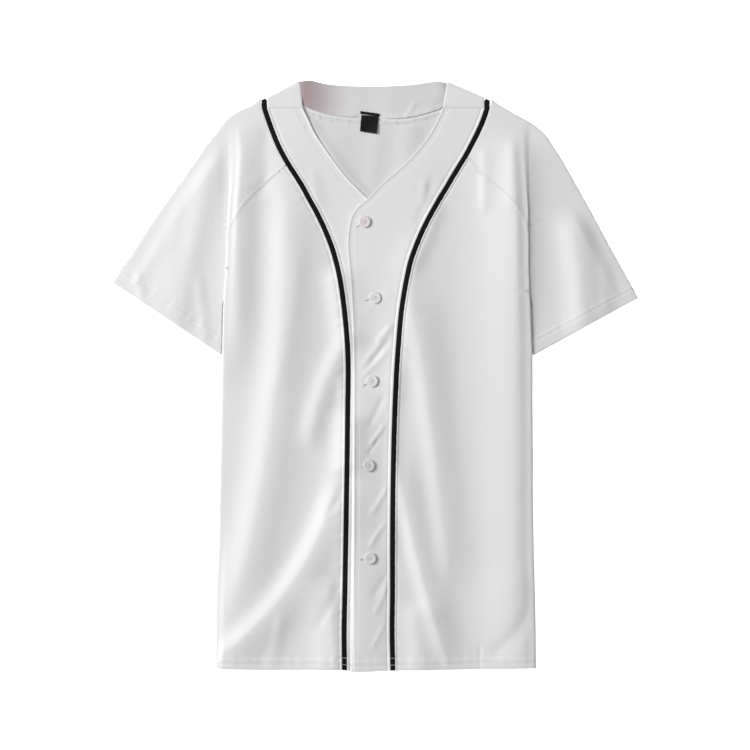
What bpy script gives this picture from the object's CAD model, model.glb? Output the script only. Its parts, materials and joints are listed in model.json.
import json
import math
import bpy
import numpy as np
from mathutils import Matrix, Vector

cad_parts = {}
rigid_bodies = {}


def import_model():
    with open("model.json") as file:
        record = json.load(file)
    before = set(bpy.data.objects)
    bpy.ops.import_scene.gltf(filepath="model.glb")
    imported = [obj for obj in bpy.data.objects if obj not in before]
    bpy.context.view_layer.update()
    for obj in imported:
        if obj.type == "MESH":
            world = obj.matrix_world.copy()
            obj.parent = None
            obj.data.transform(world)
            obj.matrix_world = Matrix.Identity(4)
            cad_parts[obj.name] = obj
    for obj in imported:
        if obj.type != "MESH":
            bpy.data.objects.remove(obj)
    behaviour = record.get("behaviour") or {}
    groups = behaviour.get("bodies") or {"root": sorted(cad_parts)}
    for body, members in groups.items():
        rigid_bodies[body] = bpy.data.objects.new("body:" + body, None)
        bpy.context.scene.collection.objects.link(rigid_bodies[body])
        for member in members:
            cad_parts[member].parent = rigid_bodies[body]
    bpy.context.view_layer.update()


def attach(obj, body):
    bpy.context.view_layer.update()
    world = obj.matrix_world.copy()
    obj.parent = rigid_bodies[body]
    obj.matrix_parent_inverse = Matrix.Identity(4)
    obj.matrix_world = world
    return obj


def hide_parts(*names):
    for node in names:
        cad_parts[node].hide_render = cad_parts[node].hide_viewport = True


# A white raglan baseball jersey lying on its back, front up. Sizes are millimetres in the
# flat cut, x toward the wearer's left and y toward the neck, and meshes are made in metres.

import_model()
bpy.ops.object.select_all(action="DESELECT")
print("frame loaded")

cut = {
    "cloth": 1.2,
    "wall": 0.95,
    "seamGap": 0.1,
    "tapeWide": 6.0,
    "tapeProud": 0.3,
    "overarmRadius": 1.3,
    "backLevel": 0.6,
    "frontLevel": 3.2,
    "sideLevel": 2.1,
    "placketLift": 2.2,
    "raglanCross": 184.5,
    "underarm": 94.5,
    "cuffInner": 25.5,
    "bandTop": 334.5,
    "hemLevel": -367.5,
    "shiftX": 2.2,
    "shiftY": 0.25,
}
raglanTop = {"right": 263.0, "left": 272.5}
outward = {"right": -1, "left": 1}


def table(columns, rows):
    return {name: np.array([row[i] for row in rows], float) for i, name in enumerate(columns.split())}


# Front seams, read across at one height a row.
frontSeams = table("y rightEdge rightTape rightNeck leftNeck leftTape leftEdge", [
    (345, -189, -142.5, -96.5, 86.5, 139.5, 191),
    (334, -189, -140.5, -92.5, 82, 137.5, 191),
    (320, -189, -136, -85.5, 75.5, 133, 191),
    (305, -188, -130.5, -78.5, 67.5, 126.5, 191),
    (290, -187, -124.5, -69, 57, 119, 191),
    (275, -186, -117, -58.5, 44.5, 111, 191),
    (262, -186, -109.5, -49, 31.5, 103, 191),
    (248, -186, -100.5, -38, 15, 94.5, 191),
    (235, -186, -92.5, -25.5, 0.5, 87, 191),
    (222, -186.5, -85.5, -12, -11, 79, 191),
    (214, -186.5, -81, -3, -21, 74.5, 191),
    (207, -187, -77, 4, -27.5, 70.5, 191),
    (198, -187, -72.5, 10, -32.5, 65.5, 191),
    (182, -187.5, -65, 13.5, -36, 57.5, 191),
    (162, -188.5, -57, 14, -37, 49, 191.5),
    (142, -189.5, -51, 14, -35.5, 42, 191.5),
    (122, -190.5, -46.5, 14, -33.5, 37.5, 192),
    (100, -192, -43, 14, -32, 33.5, 192.5),
    (75, -193, -40, 14, -30.8, 30, 193),
    (40, -193.5, -37, 14, -30.2, 27, 194),
    (5, -194, -36, 14, -29.8, 24.5, 194.5),
    (-40, -195, -36.5, 14, -29.8, 22.5, 194.5),
    (-90, -196, -37, 14, -29.5, 21, 195),
    (-150, -197.5, -38, 14, -29.5, 20, 195),
    (-210, -198.5, -39, 14, -30, 19.5, 196),
    (-270, -201, -40, 14, -30.8, 19.5, 197.5),
    (-320, -202, -41, 14, -31.5, 19, 198.5),
    (-368, -202.5, -40.5, 14, -32.5, 20, 199),
])

# Front raglan seams, from the piping to the armhole fold.
raglanSeams = {
    "right": table("y x", [(263, -114), (255, -124), (247, -134), (235.5, -146), (223, -159),
                           (204.5, -172.9), (184.5, -183.4)]),
    "left": table("y x", [(272.5, 113), (262, 122.5), (250.5, 134), (239, 146), (227, 160),
                          (215.5, 171), (203, 180.4), (184.5, 187.4)]),
}

hemLine = table("x y", [(-203, -366.5), (-150, -368), (-42, -368), (-30, -370), (20, -368.5),
                        (100, -367.5), (199, -365.5)])
backNeckSeam = table("x y", [(-106, 340), (-94, 338.5), (-81, 333), (-65, 328), (-40, 325), (-2.5, 323),
                             (29, 323), (54, 327), (75, 333.5), (88, 339), (104, 340)])
backEdges = table("y right left", [(340, -106.5, 104.5), (333, -108, 106), (290, -124, 122), (230, -147, 146),
                                   (170, -168, 169), (120, -183, 184.5), (94.5, -189.7, 190)])

# Overarm outline, from the piping over the shoulder to the outer corner of the cuff.
outlines = {
    "right": table("x y", [(-145.5, 344.8), (-150, 339.6), (-159.5, 334), (-170, 329.2), (-179, 324), (-186.3, 318.5),
                           (-192.3, 311), (-198.8, 303), (-208.3, 290.5), (-216.8, 278), (-225.8, 265.5),
                           (-235.3, 253), (-250, 232), (-267.5, 207), (-285, 182), (-301, 157), (-319, 130),
                           (-329, 115)]),
    "left": table("x y", [(142.5, 342.5), (154, 335), (166, 328), (179, 321), (194, 312.5), (204, 304.5),
                          (212.5, 294.5), (220, 283), (229, 269.5), (236, 257), (250, 232), (264, 207),
                          (277.5, 182), (291, 157), (305, 132), (317, 110), (324.5, 96)]),
}
neckCorners = {"right": (-97.5, 369.5), "left": (88.5, 368)}

# Armhole fold: width of cloth it takes, how far it is doubled under, the body's rise on each side
# and the rise of each sleeve beside it.
edgeFold = table("y zone reach right left sleeveRight sleeveLeft", [
    (318, 6, 0, 0, 0, 0, 0), (300, 7.5, 0.6, 1, 1.4, 0.3, 0), (282, 8, 1.2, 2.2, 4, 1, 2),
    (260, 7, 2, 3.2, 6, 1.8, 3.8), (230, 5, 3, 4.2, 6.5, 2.4, 4.4), (200, 3.3, 4, 5, 6.5, 2.6, 4.4),
    (112, 3.3, 4, 5.4, 6.5, 2.4, 4.4), (86, 3, 4, 5, 5.8, 1.8, 3), (60, 2.4, 3, 4.4, 4.8, 1.4, 2),
    (26, 2.2, 2.6, 3.8, 4.2, 0.8, 1.2), (5, 2.2, 2.4, 2.6, 4, 0, 0), (-25, 1.2, 1.8, 0.8, 4, 0, 0),
    (-200, 1.2, 1.8, 0.3, 4.4, 0, 0), (-368, 1.2, 1.7, 0.6, 3.6, 0, 0),
])
lobeWide = {"right": 33, "left": 44}
calmWide = {"right": 9, "left": 14}
sleeveLobeWide = {"right": 50, "left": 17}
sleeveFan = table("seam outline", [(0, 0), (0.3, 0.135), (0.62, 0.29), (1, 0.5), (1.55, 0.77), (2, 1)])

# Folds: a crest from (x0, y0) to (x1, y1), bowed toward +X, its two flank widths and its height.
foldColumns = "x0 y0 x1 y1 bow toRight toLeft high"
frontFolds = table(foldColumns, [
    (-112, 240, -177, -292, 19, 22, 34, 6),
    (-172, 300, -171, 40, 0, 12, 22, 2.2),
    (-36, 45, -84, -84, -7, 13, 16, 3.5),
    (-52, 130, -38, 40, 0, 14, 22, 3.6),
    (-36, -50, -40, -120, 0, 15, 20, 4.2),
    (-50, -140, -192, -350, 22, 15, 32, 6.4),
    (-62, -262, -54, -372, 0, 26, 14, 4.2),
    (-27.4, 40, -27.8, -372, 0, 2.7, 42, 1.8),
    (-27, -60, -27, -372, 0, 26, 42, 3.2),
    (171, 262, 168, -300, 0, 36, 16, 2.8),
    (46, 95, 92, -250, 2, 15, 27, 4.2),
    (28, -112, 89, -356, -5, 11, 24, 4.2),
    (44, 165, 22, -30, 0, 24, 15, 1.6),
])
sleeveFolds = table(foldColumns, [
    (-208, 276, -256, 56, 0, 40, 20, 3.2),
    (-268, 168, -302, 112, 0, 8, 9, 0.6),
    (246, 195, 258, 52, 3, 20, 28, 5.6),
])

# Finer creases in the fronts, troughs below zero.
frontCreases = table(foldColumns, [
    (-44, -143, -61, -172, 2, 5, 4, -0.8),
    (-42, -4, -42, -52, 0, 7, 5, 1.3),
    (75, 214, 42, 132, 3, 20, 10, 1.6),
    (-44, -247, -75, -316, 3, 7, 5, -0.8),
    (-138, 307, -146, 226, 3, 10, 9, -1.3),
    (-136, 290, -150, 236, 3, 9, 9, 0.8),
    (-100, 150, -128, -20, 4, 12, 12, 0.7),
    (134, 282, 134, 207, 0, 6, 10, 1.1),
    (169, 290, 168, 207, 0, 8, 9, 1.1),
    (23, 20, 20, -220, 0, 10, 7, 1.5),
    (50, -290, 56, -372, 0, 16, 26, 3),
    (166, -250, 166, -372, 0, 30, 30, 1.8),
    (191, -293, 145, -349, 4, 8, 12, -1.2),
    (129, -338, 129, -368, 0, 2.2, 2.2, -0.6),
    (-120, -300, -132, -366, 0, 6, 9, 0.8),
    (60, 246, 58, 212, 0, 5, 6, 0.7),
    (68, 246, 49, 189, 2, 5, 6, -0.8),
    (-81, 258, -73, 216, 0, 5, 8, 0.6),
])

# Creases across the over placket, pulled from the buttons up toward the piping.
placketCreases = table(foldColumns, [
    (18, 104, -16, 80, 0, 7, 8, 0.5),
    (18, 63, 0, 44, 0, 3, 3.6, 0.8),
    (14, 56, -18, 13, 1, 3.6, 4.4, 0.75),
    (14, 44, -8, 16, 0, 3.6, 4, -0.7),
    (12, 31, -18, -1, 1, 3.2, 4, 0.7),
    (8, -27, -9, -63, 0, 4, 4, -0.7),
    (9, -62, -8, -87, 0, 2.6, 2.8, 0.8),
    (2, -78, -11, -98, 0, 2.4, 2.6, -0.6),
    (12, -140, -7, -172, 1, 3, 3.4, 0.7),
    (9, -186, -9, -214, -1, 2.8, 3, 0.7),
    (11, -250, -5, -276, 0, 4, 4, -0.6),
    (13, -262, -3, -296, 1, 3, 3.4, 0.6),
    (8, -312, -6, -340, 0, 3, 3, 0.5),
])
sleeveCreases = table(foldColumns, [
    (-232, 262, -250, 150, 3, 8, 10, -0.5),
    (-300, 128, -292, 86, 0, 6, 6, 0.8),
    (-222, 120, -214, 40, 0, 7, 7, 0.9),
    (286, 140, 284, 70, 2, 9, 10, 0.9),
])
backCreases = table(foldColumns, [
    (42, 318, 28, 214, 2, 15, 17, 1.3),
    (-60, 300, -34, 212, 0, 16, 18, 0.9),
    (2, 300, -10, 230, 0, 10, 10, 0.5),
])


def mix(a, b, t):
    return a + (b - a) * t


def ease(t):
    s = np.clip(t, 0, 1)
    return s * s * (3 - 2 * s)


# Smooth curve through one column of a table against another.
def through(rows, key, value):
    order = np.argsort(rows[key])
    at, to = rows[key][order], rows[value][order]
    ahead = np.minimum(np.arange(len(at)) + 1, len(at) - 1)
    behind = np.maximum(np.arange(len(at)) - 1, 0)
    slope = (to[ahead] - to[behind]) / (at[ahead] - at[behind])

    def curve(where):
        t = np.clip(where, at[0], at[-1])
        i = np.clip(np.searchsorted(at, t, side="left") - 1, 0, len(at) - 2)
        span = at[i + 1] - at[i]
        s = (t - at[i]) / span
        bend = (1 - s) * slope[i] - s * slope[i + 1] - (1 - 2 * s) * (to[i + 1] - to[i]) / span
        return mix(to[i], to[i + 1], s) + s * (1 - s) * span * bend
    return curve


seams = {name: through(frontSeams, "y", name) for name in frontSeams if name != "y"}
raglan = {side: through(raglanSeams[side], "y", "x") for side in outward}
hemAt = through(hemLine, "x", "y")
backNeckAt = through(backNeckSeam, "x", "y")
backEdge = {side: through(backEdges, "y", side) for side in outward}
foldZone = through(edgeFold, "y", "zone")
foldReach = through(edgeFold, "y", "reach")
foldRise = {side: through(edgeFold, "y", side) for side in outward}
sleeveRise = {"right": through(edgeFold, "y", "sleeveRight"), "left": through(edgeFold, "y", "sleeveLeft")}
fanAt = through(sleeveFan, "seam", "outline")


def bodyEdge(side, y):
    return np.abs(seams[side + "Edge"](y))


def lean(curve, y):
    return np.hypot(1, curve(y + 0.5) - curve(y - 0.5))


def outlineDistance(side, x, y):
    line = outlines[side]
    xs = np.append(neckCorners[side][0], line["x"])
    ys = np.append(neckCorners[side][1], line["y"])
    near = np.full(np.shape(x), 1e9)
    for i in range(len(xs) - 1):
        runX, runY = xs[i + 1] - xs[i], ys[i + 1] - ys[i]
        t = np.clip(((x - xs[i]) * runX + (y - ys[i]) * runY) / (runX ** 2 + runY ** 2), 0, 1)
        near = np.minimum(near, np.hypot(x - xs[i] - runX * t, y - ys[i] - runY * t))
    return near


def foldHeight(folds, x, y):
    height = np.zeros(np.shape(x))
    for x0, y0, x1, y1, bow, toRight, toLeft, high in zip(*folds.values()):
        length = math.hypot(x1 - x0, y1 - y0)
        ux, uy = (x1 - x0) / length, (y1 - y0) / length
        t = ((x - x0) * ux + (y - y0) * uy) / length
        across = ((x - x0) * uy - (y - y0) * ux) * (1 if uy > 0 else -1) - bow * 4 * t * (1 - t)
        width = np.where(across < 0, toRight, toLeft)
        fade = ease((t + 0.15) / 0.3) * ease((1.15 - t) / 0.3)
        height += high * fade * np.exp(-(across / width) ** 2)
    return height


def lowLevel(y):
    return mix(cut["sideLevel"], cut["frontLevel"], ease((y - 8) / 24))


# Armhole fold at one height: the cloth it takes, its doubling and where it starts.
def armholeFold(side, y):
    zone = foldZone(y)
    drop = cut["frontLevel"] + foldRise[side](y) - lowLevel(y) - sleeveRise[side](y)
    reach = np.clip(0.11 * drop * drop, 0, foldReach(y))
    swing = 0
    for i in range(1, 20):
        swing = np.maximum(swing, zone * i / 20 + reach * math.sin(2 * math.pi * i / 20))
    return zone, reach, bodyEdge(side, y) - swing - cut["cloth"] / 2


# Middle of the front cloth over a point of the flat cut, with the armhole fold doubled under.
def layFront(side, x, y, liftAt=None):
    x, y = np.broadcast_arrays(np.asarray(x, float), np.asarray(y, float))
    out = outward[side]
    zone, reach, start = armholeFold(side, y)
    e = out * x
    inside = start - e
    nearOutline = ease(outlineDistance(side, x, y) / 22)
    upper = cut["frontLevel"] + foldRise[side](y) * np.exp(-(inside / lobeWide[side]) ** 2)
    folded = foldHeight(frontFolds, x, y) + foldHeight(frontCreases, x, y)
    upper = upper + ease(inside / calmWide[side]) * nearOutline * folded
    if liftAt is not None:
        upper = upper + liftAt(x, y)
    beyond = e - start - zone
    lower = ease(beyond / 14) * nearOutline * (foldHeight(sleeveFolds, x, y) + foldHeight(sleeveCreases, x, y))
    lower = lower + lowLevel(y) + sleeveRise[side](y) * np.exp(-np.clip(beyond, 0, 200) / sleeveLobeWide[side])
    lower = lower + cuffRelief(side, x, y) * ease(beyond / 5)
    s = np.clip((e - start) / zone, 0, 1)
    drop = s - 0.95 * np.sin(4 * np.pi * s) / (4 * np.pi)
    between = mix(cut["frontLevel"] + foldRise[side](y), lowLevel(y) + sleeveRise[side](y), drop)
    swung = out * (start + zone * s + reach * np.sin(2 * np.pi * s))
    px = np.where(e <= start, x, np.where(e >= start + zone, x, swung))
    pz = np.where(e <= start, upper, np.where(e >= start + zone, lower, between))
    return np.stack([px, y, pz], axis=-1)


def squareTo(side, x, y, liftAt=None):
    step = 0.15
    alongX = layFront(side, x + step, y, liftAt) - layFront(side, x - step, y, liftAt)
    alongY = layFront(side, x, y + step, liftAt) - layFront(side, x, y - step, liftAt)
    n = np.cross(alongX, alongY)
    return n / np.linalg.norm(n, axis=-1, keepdims=True)


# The over placket lifts the wearer's left side by one layer, fading out over the panel.
def leftLift(x, y):
    return cut["placketLift"] * ease((104 - x) / 62) * ease((302 - y) / 70)


def sideLift(side, x, y):
    return leftLift(x, y) if side == "left" else 0 * x


sewn = {
    "hemRows": (-352.0, -360.6),
    "cuffRows": (13.2, 18.8),
    "tapeRow": 3.7,
    "neckRow": 7.4,
    "placketRow": 6.4,
    "neckTapeWide": 8.6,
}


# Low relief sewn into a piece: a groove under a row of stitches, a puffed edge, small puckers.
def groove(distance, at, wide, deep):
    return -deep * np.exp(-((distance - at) / wide) ** 2)


def puff(distance, start, stop, high):
    t = np.clip((distance - start) / (stop - start), 0, 1)
    return high * 4 * t * (1 - t)


def puckers(along, deep, phase=0.0):
    wave = np.sin(along * 0.56 + phase) + 0.7 * np.sin(along * 0.351 + 1.3 + phase * 2)
    wave = wave + 0.6 * np.sin(along * 0.887 + 2.1 + phase) + 0.5 * np.sin(along * 0.217 + phase)
    return deep * wave / 2


def hemRelief(x, y):
    up = y - hemAt(x) + cut["hemLevel"]
    relief = groove(up, sewn["hemRows"][0], 1.1, 0.45) + groove(up, sewn["hemRows"][1], 1.1, 0.4)
    relief = relief + 0.3 * ease((-349.5 - up) / 2.5)
    return relief + puckers(x * 0.8, 0.22, 0.4) * np.exp(-((up + 356) / 9) ** 2)


def cuffRelief(side, x, y):
    out = outward[side]
    inner = np.array([out * 193.5, cut["cuffInner"]])
    outer = np.array([outlines[side]["x"][-1], outlines[side]["y"][-1]])
    run = (outer - inner) / np.linalg.norm(outer - inner)
    along = (x - inner[0]) * run[0] + (y - inner[1]) * run[1]
    up = np.abs((x - inner[0]) * run[1] - (y - inner[1]) * run[0])
    relief = groove(up, sewn["cuffRows"][0], 1.1, 0.35) + groove(up, sewn["cuffRows"][1], 1.1, 0.45)
    relief = relief + 0.35 * ease((21.5 - up) / 2.5)
    return relief + puckers(along * 0.8, 0.2, 1.1) * np.exp(-((up - 16) / 9) ** 2)


def panelRelief(side):
    tape = seams[side + "Tape"]

    def relief(x, y):
        fromTape = np.abs(x - tape(y)) / lean(tape, y) - cut["tapeWide"] / 2 - cut["seamGap"]
        toSeam = np.where(y > cut["raglanCross"], np.abs(x - raglan[side](y)), 99.0)
        height = sideLift(side, x, y) + puff(fromTape, -0.6, 2.6, 0.3) + groove(fromTape, 3.0, 1.1, 0.22)
        height = height + puckers(y + 0.6 * fromTape, 0.3, 0.7) * np.exp(-np.clip(fromTape, 0, 90) / 9)
        height = height + puff(toSeam, -1.8, 3.2, 0.26) + puckers(y * 0.9, 0.16, 2.2) * np.exp(-toSeam / 6)
        return height + hemRelief(x, y)
    return relief


def bandRelief(side):
    tape, neck = seams[side + "Tape"], seams[side + "Neck"]
    row = {"right": sewn["neckRow"], "left": sewn["placketRow"]}[side]

    def relief(x, y):
        fromTape = np.abs(x - tape(y)) / lean(tape, y) - cut["tapeWide"] / 2 - cut["seamGap"]
        fromNeck = np.abs(x - neck(y)) / lean(neck, y)
        height = sideLift(side, x, y) + puff(fromTape, -0.8, 3.2, 0.36 if side == "left" else 0.14) + groove(fromTape, sewn["tapeRow"], 0.9, 0.34)
        height = height + puff(fromNeck, -0.8, 2.8, 0.28) + groove(fromNeck, 4.0, 1.6, 0.16)
        height = height + groove(fromNeck, row, 1.2, 0.2)
        height = height + puckers(y, 0.13, 0.2) * np.exp(-np.abs(fromTape - 4) / 3)
        height = height + puckers(y * 1.1, 0.15, 1.9) * np.exp(-np.abs(fromNeck - row) / 3)
        if side == "left":
            height = height + foldHeight(placketCreases, x, y) * ease((fromTape - 2) / 5) * ease((fromNeck - 3) / 6)
            for place in buttons:
                near = np.hypot(x - place[0], y - place[1])
                height = height - 0.5 * np.exp(-(near / 8) ** 2)
        return height + hemRelief(x, y)
    return relief


def sleeveRelief(side):
    def relief(x, y):
        toSeam = np.where(y > cut["raglanCross"], np.abs(x - raglan[side](y)), 99.0)
        return sideLift(side, x, y) + puff(toSeam, -1.8, 3.2, 0.26) + puckers(y * 0.9, 0.16, 2.2) * np.exp(-toSeam / 6)
    return relief


buttons = [(-15.5, 192), (-2.5, 97), (-6.2, -7), (-10.4, -112.4), (-8.7, -228)]


def halfGap(side, curve, x, y):
    stretch = np.linalg.norm(layFront(side, x - 0.02, y) - layFront(side, x + 0.02, y), axis=-1) / 0.04
    hidden = 1 + 2 * ease((cut["raglanCross"] - y) / 20)
    return hidden * cut["seamGap"] / 2 * lean(curve, y) / np.maximum(stretch, 0.2)


def rowHeight(x, y):
    return y + (hemAt(x) - cut["hemLevel"]) * ease((-250 - y) / 117)


# Where the front ends: on the raglan seam, then inside the armhole fold, then at the side seam.
def frontEnd(side, y):
    zone, reach, start = armholeFold(side, y)
    share = np.clip((cut["raglanCross"] - y) / (cut["raglanCross"] - cut["underarm"]), 0, 1)
    return np.where(y >= cut["raglanCross"], raglan[side](y), outward[side] * (start + zone * 0.95 * share))


# Even out dense rows of points to a set count, closer where the cloth turns or where it is asked for.
def evenOut(rows, follow, count, spacing, turn=0.3):
    step = np.linalg.norm(np.diff(rows, axis=1), axis=2)
    heading = np.diff(rows, axis=1) / np.maximum(step, 1e-9)[..., None]
    angle = np.arccos(np.clip((heading[:, 1:] * heading[:, :-1]).sum(2), -1, 1))
    weight = step / spacing
    weight[:, 1:] += angle / turn
    total = np.concatenate([np.zeros((len(rows), 1)), np.cumsum(weight, axis=1)], axis=1)
    every = np.concatenate([rows, follow], axis=2)
    found = np.zeros((len(rows), count, every.shape[2]))
    for i in range(len(rows)):
        want = np.linspace(0, total[i, -1], count)
        for axis in range(every.shape[2]):
            found[i, :, axis] = np.interp(want, total[i], every[i, :, axis])
    return found[..., :3], found[..., 3:]


# A length of cloth along each row, for the knit to follow without stretching.
def runLength(rows):
    step = np.linalg.norm(np.diff(rows, axis=1), axis=2)
    return np.concatenate([np.zeros((len(rows), 1)), np.cumsum(step, axis=1)], axis=1)


def layCloth(name, rows, knitPlace, material, wall, rounded, facing=1, inner=None):
    high, wide = rows.shape[:2]
    bpy.ops.mesh.primitive_grid_add(x_subdivisions=wide - 1, y_subdivisions=high - 1, size=1)
    piece = bpy.context.object
    piece.name = piece.data.name = name
    place = (rows + [cut["shiftX"], cut["shiftY"], 0]).reshape(-1, 3) / 1000
    mesh = piece.data
    mesh.vertices.foreach_set("co", place.ravel())
    corner = np.zeros(len(mesh.loops), int)
    mesh.loops.foreach_get("vertex_index", corner)
    spread = (knitPlace.reshape(-1, 2) / 1000)[corner]
    mesh.uv_layers[0].data.foreach_set("uv", spread.ravel())
    mesh.update()
    middle = mesh.polygons[(high // 2) * (wide - 1) + wide // 4]
    if middle.normal.z * facing < 0:
        mesh.flip_normals()
    mesh.materials.append(material)
    if inner:
        mesh.materials.append(inner)
    shell = piece.modifiers.new("wall", "SOLIDIFY")
    shell.thickness = wall / 1000
    shell.offset = 0
    shell.use_quality_normals = True
    shell.material_offset = 1 if inner else 0
    bpy.ops.object.modifier_apply(modifier="wall")
    if rounded:
        edge = piece.modifiers.new("turnedEdge", "BEVEL")
        edge.width = rounded / 1000
        edge.segments = 2
        edge.limit_method = "ANGLE"
        edge.angle_limit = math.radians(50)
        edge.use_clamp_overlap = False
        bpy.ops.object.modifier_apply(modifier="turnedEdge")
    bpy.ops.object.shade_smooth()
    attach(piece, "root")
    bpy.ops.object.select_all(action="DESELECT")
    return piece


# Shader groups

def newGroup(name, inputs, outputs):
    group = bpy.data.node_groups.new(name, "ShaderNodeTree")
    for label, kind, value in inputs:
        socket = group.interface.new_socket(name=label, in_out="INPUT", socket_type=kind)
        if value is not None:
            socket.default_value = value
    for label, kind in outputs:
        group.interface.new_socket(name=label, in_out="OUTPUT", socket_type=kind)
    start = group.nodes.new("NodeGroupInput")
    stop = group.nodes.new("NodeGroupOutput")
    return group, start, stop


def addNode(tree, kind, settings=None, inputs=None):
    node = tree.nodes.new(kind)
    for key, value in (settings or {}).items():
        setattr(node, key, value)
    for key, value in (inputs or {}).items():
        if isinstance(value, bpy.types.NodeSocket):
            tree.links.new(value, node.inputs[key])
        else:
            node.inputs[key].default_value = value
    return node


def calc(tree, operation, a, b=None, c=None):
    wired = {0: a}
    if b is not None:
        wired[1] = b
    if c is not None:
        wired[2] = c
    return addNode(tree, "ShaderNodeMath", {"operation": operation}, wired).outputs[0]


# Columns of small V shaped stitches, as on the face of a fine interlock knit.
def makeKnitGroup():
    group, start, stop = newGroup("knitFace", [
        ("Place", "NodeSocketVector", None), ("Wale", "NodeSocketFloat", 0.001), ("Course", "NodeSocketFloat", 0.0008),
    ], [("Height", "NodeSocketFloat"), ("Shade", "NodeSocketFloat")])
    split = addNode(group, "ShaderNodeSeparateXYZ", None, {0: start.outputs["Place"]})
    column = calc(group, "FRACT", calc(group, "DIVIDE", split.outputs[0], start.outputs["Wale"]))
    leg = calc(group, "MULTIPLY", calc(group, "ABSOLUTE", calc(group, "SUBTRACT", column, 0.5)), 2.0)
    course = calc(group, "DIVIDE", split.outputs[1], start.outputs["Course"])
    loop = calc(group, "FRACT", calc(group, "MULTIPLY_ADD", leg, 0.62, course))
    yarn = calc(group, "SINE", calc(group, "MULTIPLY", loop, math.pi))
    valley = calc(group, "POWER", leg, 5.0)
    height = calc(group, "MULTIPLY", yarn, calc(group, "SUBTRACT", 1.0, calc(group, "MULTIPLY", valley, 0.75)))
    dip = calc(group, "POWER", calc(group, "SUBTRACT", 1.0, leg), 6.0)
    height = calc(group, "SUBTRACT", height, calc(group, "MULTIPLY", dip, 0.35))
    group.links.new(height, stop.inputs["Height"])
    group.links.new(calc(group, "POWER", calc(group, "MAXIMUM", height, 0.0), 0.6), stop.inputs["Shade"])
    return group


# Ribs across a woven tape, or the fine twill of a label.
def makeRibGroup():
    group, start, stop = newGroup("wovenRib", [
        ("Place", "NodeSocketVector", None), ("Rib", "NodeSocketFloat", 0.0009), ("Warp", "NodeSocketFloat", 0.0005),
        ("Slant", "NodeSocketFloat", 0.0),
    ], [("Height", "NodeSocketFloat"), ("Shade", "NodeSocketFloat")])
    split = addNode(group, "ShaderNodeSeparateXYZ", None, {0: start.outputs["Place"]})
    along = calc(group, "MULTIPLY_ADD", split.outputs[0], start.outputs["Slant"], split.outputs[1])
    rib = calc(group, "FRACT", calc(group, "DIVIDE", along, start.outputs["Rib"]))
    rib = calc(group, "SINE", calc(group, "MULTIPLY", rib, math.pi))
    warp = calc(group, "FRACT", calc(group, "DIVIDE", split.outputs[0], start.outputs["Warp"]))
    warp = calc(group, "SINE", calc(group, "MULTIPLY", warp, math.pi))
    height = calc(group, "MULTIPLY_ADD", warp, 0.35, rib)
    group.links.new(height, stop.inputs["Height"])
    group.links.new(calc(group, "MULTIPLY", height, 0.74), stop.inputs["Shade"])
    return group


# Handling: soft clouds of shade, faint short wrinkles and a little lint.
def makeHandledGroup():
    group, start, stop = newGroup("handledCloth", [
        ("Place", "NodeSocketVector", None), ("Cloud", "NodeSocketFloat", 6.0), ("Wrinkle", "NodeSocketFloat", 38.0),
        ("Lint", "NodeSocketFloat", 900.0),
    ], [("Cloud", "NodeSocketFloat"), ("Wrinkle", "NodeSocketFloat"), ("Lint", "NodeSocketFloat")])
    place = start.outputs["Place"]
    cloud = addNode(group, "ShaderNodeTexNoise", None, {"Vector": place, "Scale": start.outputs["Cloud"],
                                                        "Detail": 3.0, "Roughness": 0.5})
    stretched = addNode(group, "ShaderNodeMapping", None, {"Vector": place, "Scale": (1.0, 0.34, 1.0),
                                                           "Rotation": (0.0, 0.0, 0.35)})
    wrinkle = addNode(group, "ShaderNodeTexNoise", None, {"Vector": stretched.outputs[0],
                                                          "Scale": start.outputs["Wrinkle"], "Detail": 4.0,
                                                          "Roughness": 0.45, "Distortion": 0.4})
    lint = addNode(group, "ShaderNodeTexNoise", None, {"Vector": place, "Scale": start.outputs["Lint"], "Detail": 2.0})
    spots = addNode(group, "ShaderNodeMapRange", None, {0: lint.outputs["Fac"], 1: 0.62, 2: 0.78, 3: 0.0, 4: 1.0})
    group.links.new(cloud.outputs["Fac"], stop.inputs["Cloud"])
    group.links.new(wrinkle.outputs["Fac"], stop.inputs["Wrinkle"])
    group.links.new(spots.outputs[0], stop.inputs["Lint"])
    return group


knitGroup, ribGroup, handledGroup = makeKnitGroup(), makeRibGroup(), makeHandledGroup()
print("shader groups made")


def useGroup(tree, group, inputs):
    node = addNode(tree, "ShaderNodeGroup", {"node_tree": group})
    for key, value in inputs.items():
        if isinstance(value, bpy.types.NodeSocket):
            tree.links.new(value, node.inputs[key])
        else:
            node.inputs[key].default_value = value
    return node


def newMaterial(name, finish):
    material = bpy.data.materials.new(name)
    material.use_nodes = True
    shader = material.node_tree.nodes["Principled BSDF"]
    for key, value in finish.items():
        shader.inputs[key].default_value = value
    return material, material.node_tree, shader


def blendColor(tree, factor, a, b):
    node = addNode(tree, "ShaderNodeMix", {"data_type": "RGBA"}, {"Factor": factor})
    for socket, value in ((node.inputs[6], a), (node.inputs[7], b)):
        if isinstance(value, bpy.types.NodeSocket):
            tree.links.new(value, socket)
        else:
            socket.default_value = value
    return node.outputs[2]


def ranged(tree, value, low, high, fromLow=0.0, fromHigh=1.0):
    return addNode(tree, "ShaderNodeMapRange", None, {0: value, 1: fromLow, 2: fromHigh, 3: low, 4: high}).outputs[0]


knitFinish = {
    "white": (0.815, 0.815, 0.822, 1),
    "shaded": (0.745, 0.745, 0.757, 1),
    "innerWhite": (0.735, 0.735, 0.745, 1),
    "innerShaded": (0.66, 0.66, 0.672, 1),
    "blush": (0.40, 0.31, 0.325, 1),
    "wale": 0.00105,
    "course": 0.00082,
    "knitDeep": 0.00009,
    "wrinkleDeep": 0.0011,
}


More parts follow.
